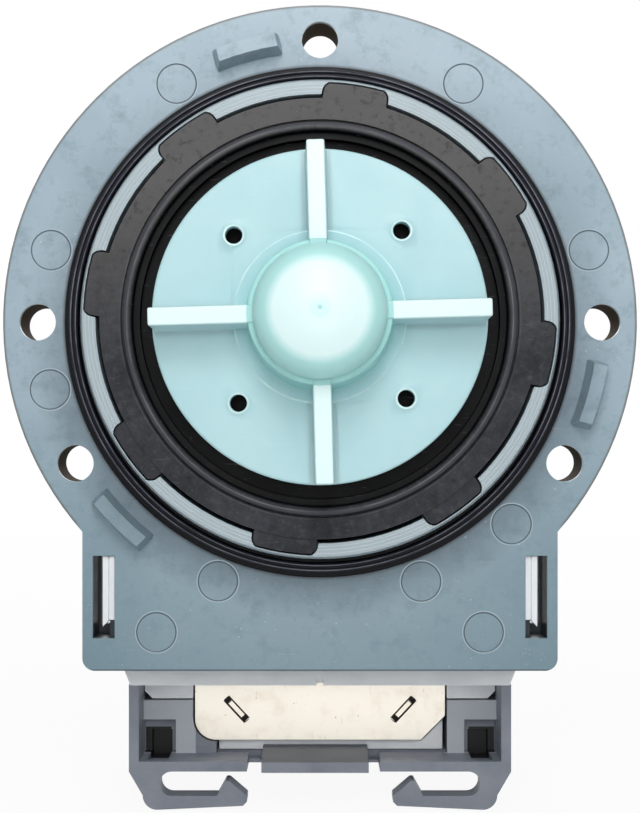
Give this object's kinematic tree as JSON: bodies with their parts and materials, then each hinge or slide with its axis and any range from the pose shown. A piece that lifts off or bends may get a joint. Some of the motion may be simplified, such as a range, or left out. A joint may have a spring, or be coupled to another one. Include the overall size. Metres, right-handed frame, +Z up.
{
  "type": "washer drain pump",
  "caption": "Drain pump motor with a round bolt-on flange, a domed impeller with straight blades and a coil pair on a laminated core below the rotor.",
  "frame": {"origin": "on the rotor axis, at the front face of the flange that bolts to the sump", "axes": "-Y along the rotor axis, out of the flange towards the impeller; +Z up, away from the coils; +X to the right as seen from the impeller side"},
  "size_m": [0.092, 0.0813, 0.1192],
  "materials": {
    "grey_body": "satin",
    "seal_rubber": "satin",
    "mount_rubber": "matte",
    "black_plate": "dusty matte",
    "carbon_bush": "matte",
    "white_ceramic": "ground",
    "steel_shaft": "ground",
    "ferrite": "matte",
    "core_plastic": "satin",
    "dog_plastic": "satin",
    "mint_impeller": "semi-gloss",
    "cover_plastic": "satin",
    "core_steel": "pressed sheet",
    "white_bobbin": "satin",
    "copper_winding": "enamelled",
    "coil_tape": "polyester film",
    "cutout_case": "matte",
    "grey_housing": "satin",
    "tinned_brass": "tinned"
  },
  "bodies": {
    "housing": {"pump_body": "grey_body", "flange_seal": "seal_rubber", "bearing_plate": "black_plate", "plate_seal": "seal_rubber", "front_bearing": "carbon_bush", "front_bearing_mount": "mount_rubber", "rear_bearing": "carbon_bush", "rear_bearing_mount": "mount_rubber", "left_pole_stack": "core_steel", "right_pole_stack": "core_steel", "yoke_stack": "core_steel", "left_bobbin": "white_bobbin", "right_bobbin": "white_bobbin", "left_winding": "copper_winding", "right_winding": "copper_winding", "left_coil_tape": "coil_tape", "right_coil_tape": "coil_tape", "thermal_cutout": "cutout_case", "terminal_housing": "grey_housing", "left_terminal": "tinned_brass", "right_terminal": "tinned_brass", "yoke_insulator": "white_bobbin"},
    "rotor": {"rotor_shaft": "steel_shaft", "rotor_magnet": "ferrite", "rotor_core": "core_plastic", "front_thrust_washer": "white_ceramic", "rear_thrust_washer": "white_ceramic", "drive_dog": "dog_plastic"},
    "impeller": {"impeller": "mint_impeller", "clutch_damper": "mount_rubber", "hub_cover": "cover_plastic", "hub_seal": "mount_rubber"}
  },
  "joints": [
    {"name": "rotor_spin", "type": "hinge", "parent": "housing", "child": "rotor", "pos_m": [0, 0, 0], "axis": [0, -1, 0], "continuous": true},
    {"name": "impeller_free_play", "type": "hinge", "parent": "rotor", "child": "impeller", "pos_m": [0, 0, 0], "axis": [0, -1, 0], "range_deg": [-130, 130]}
  ]
}
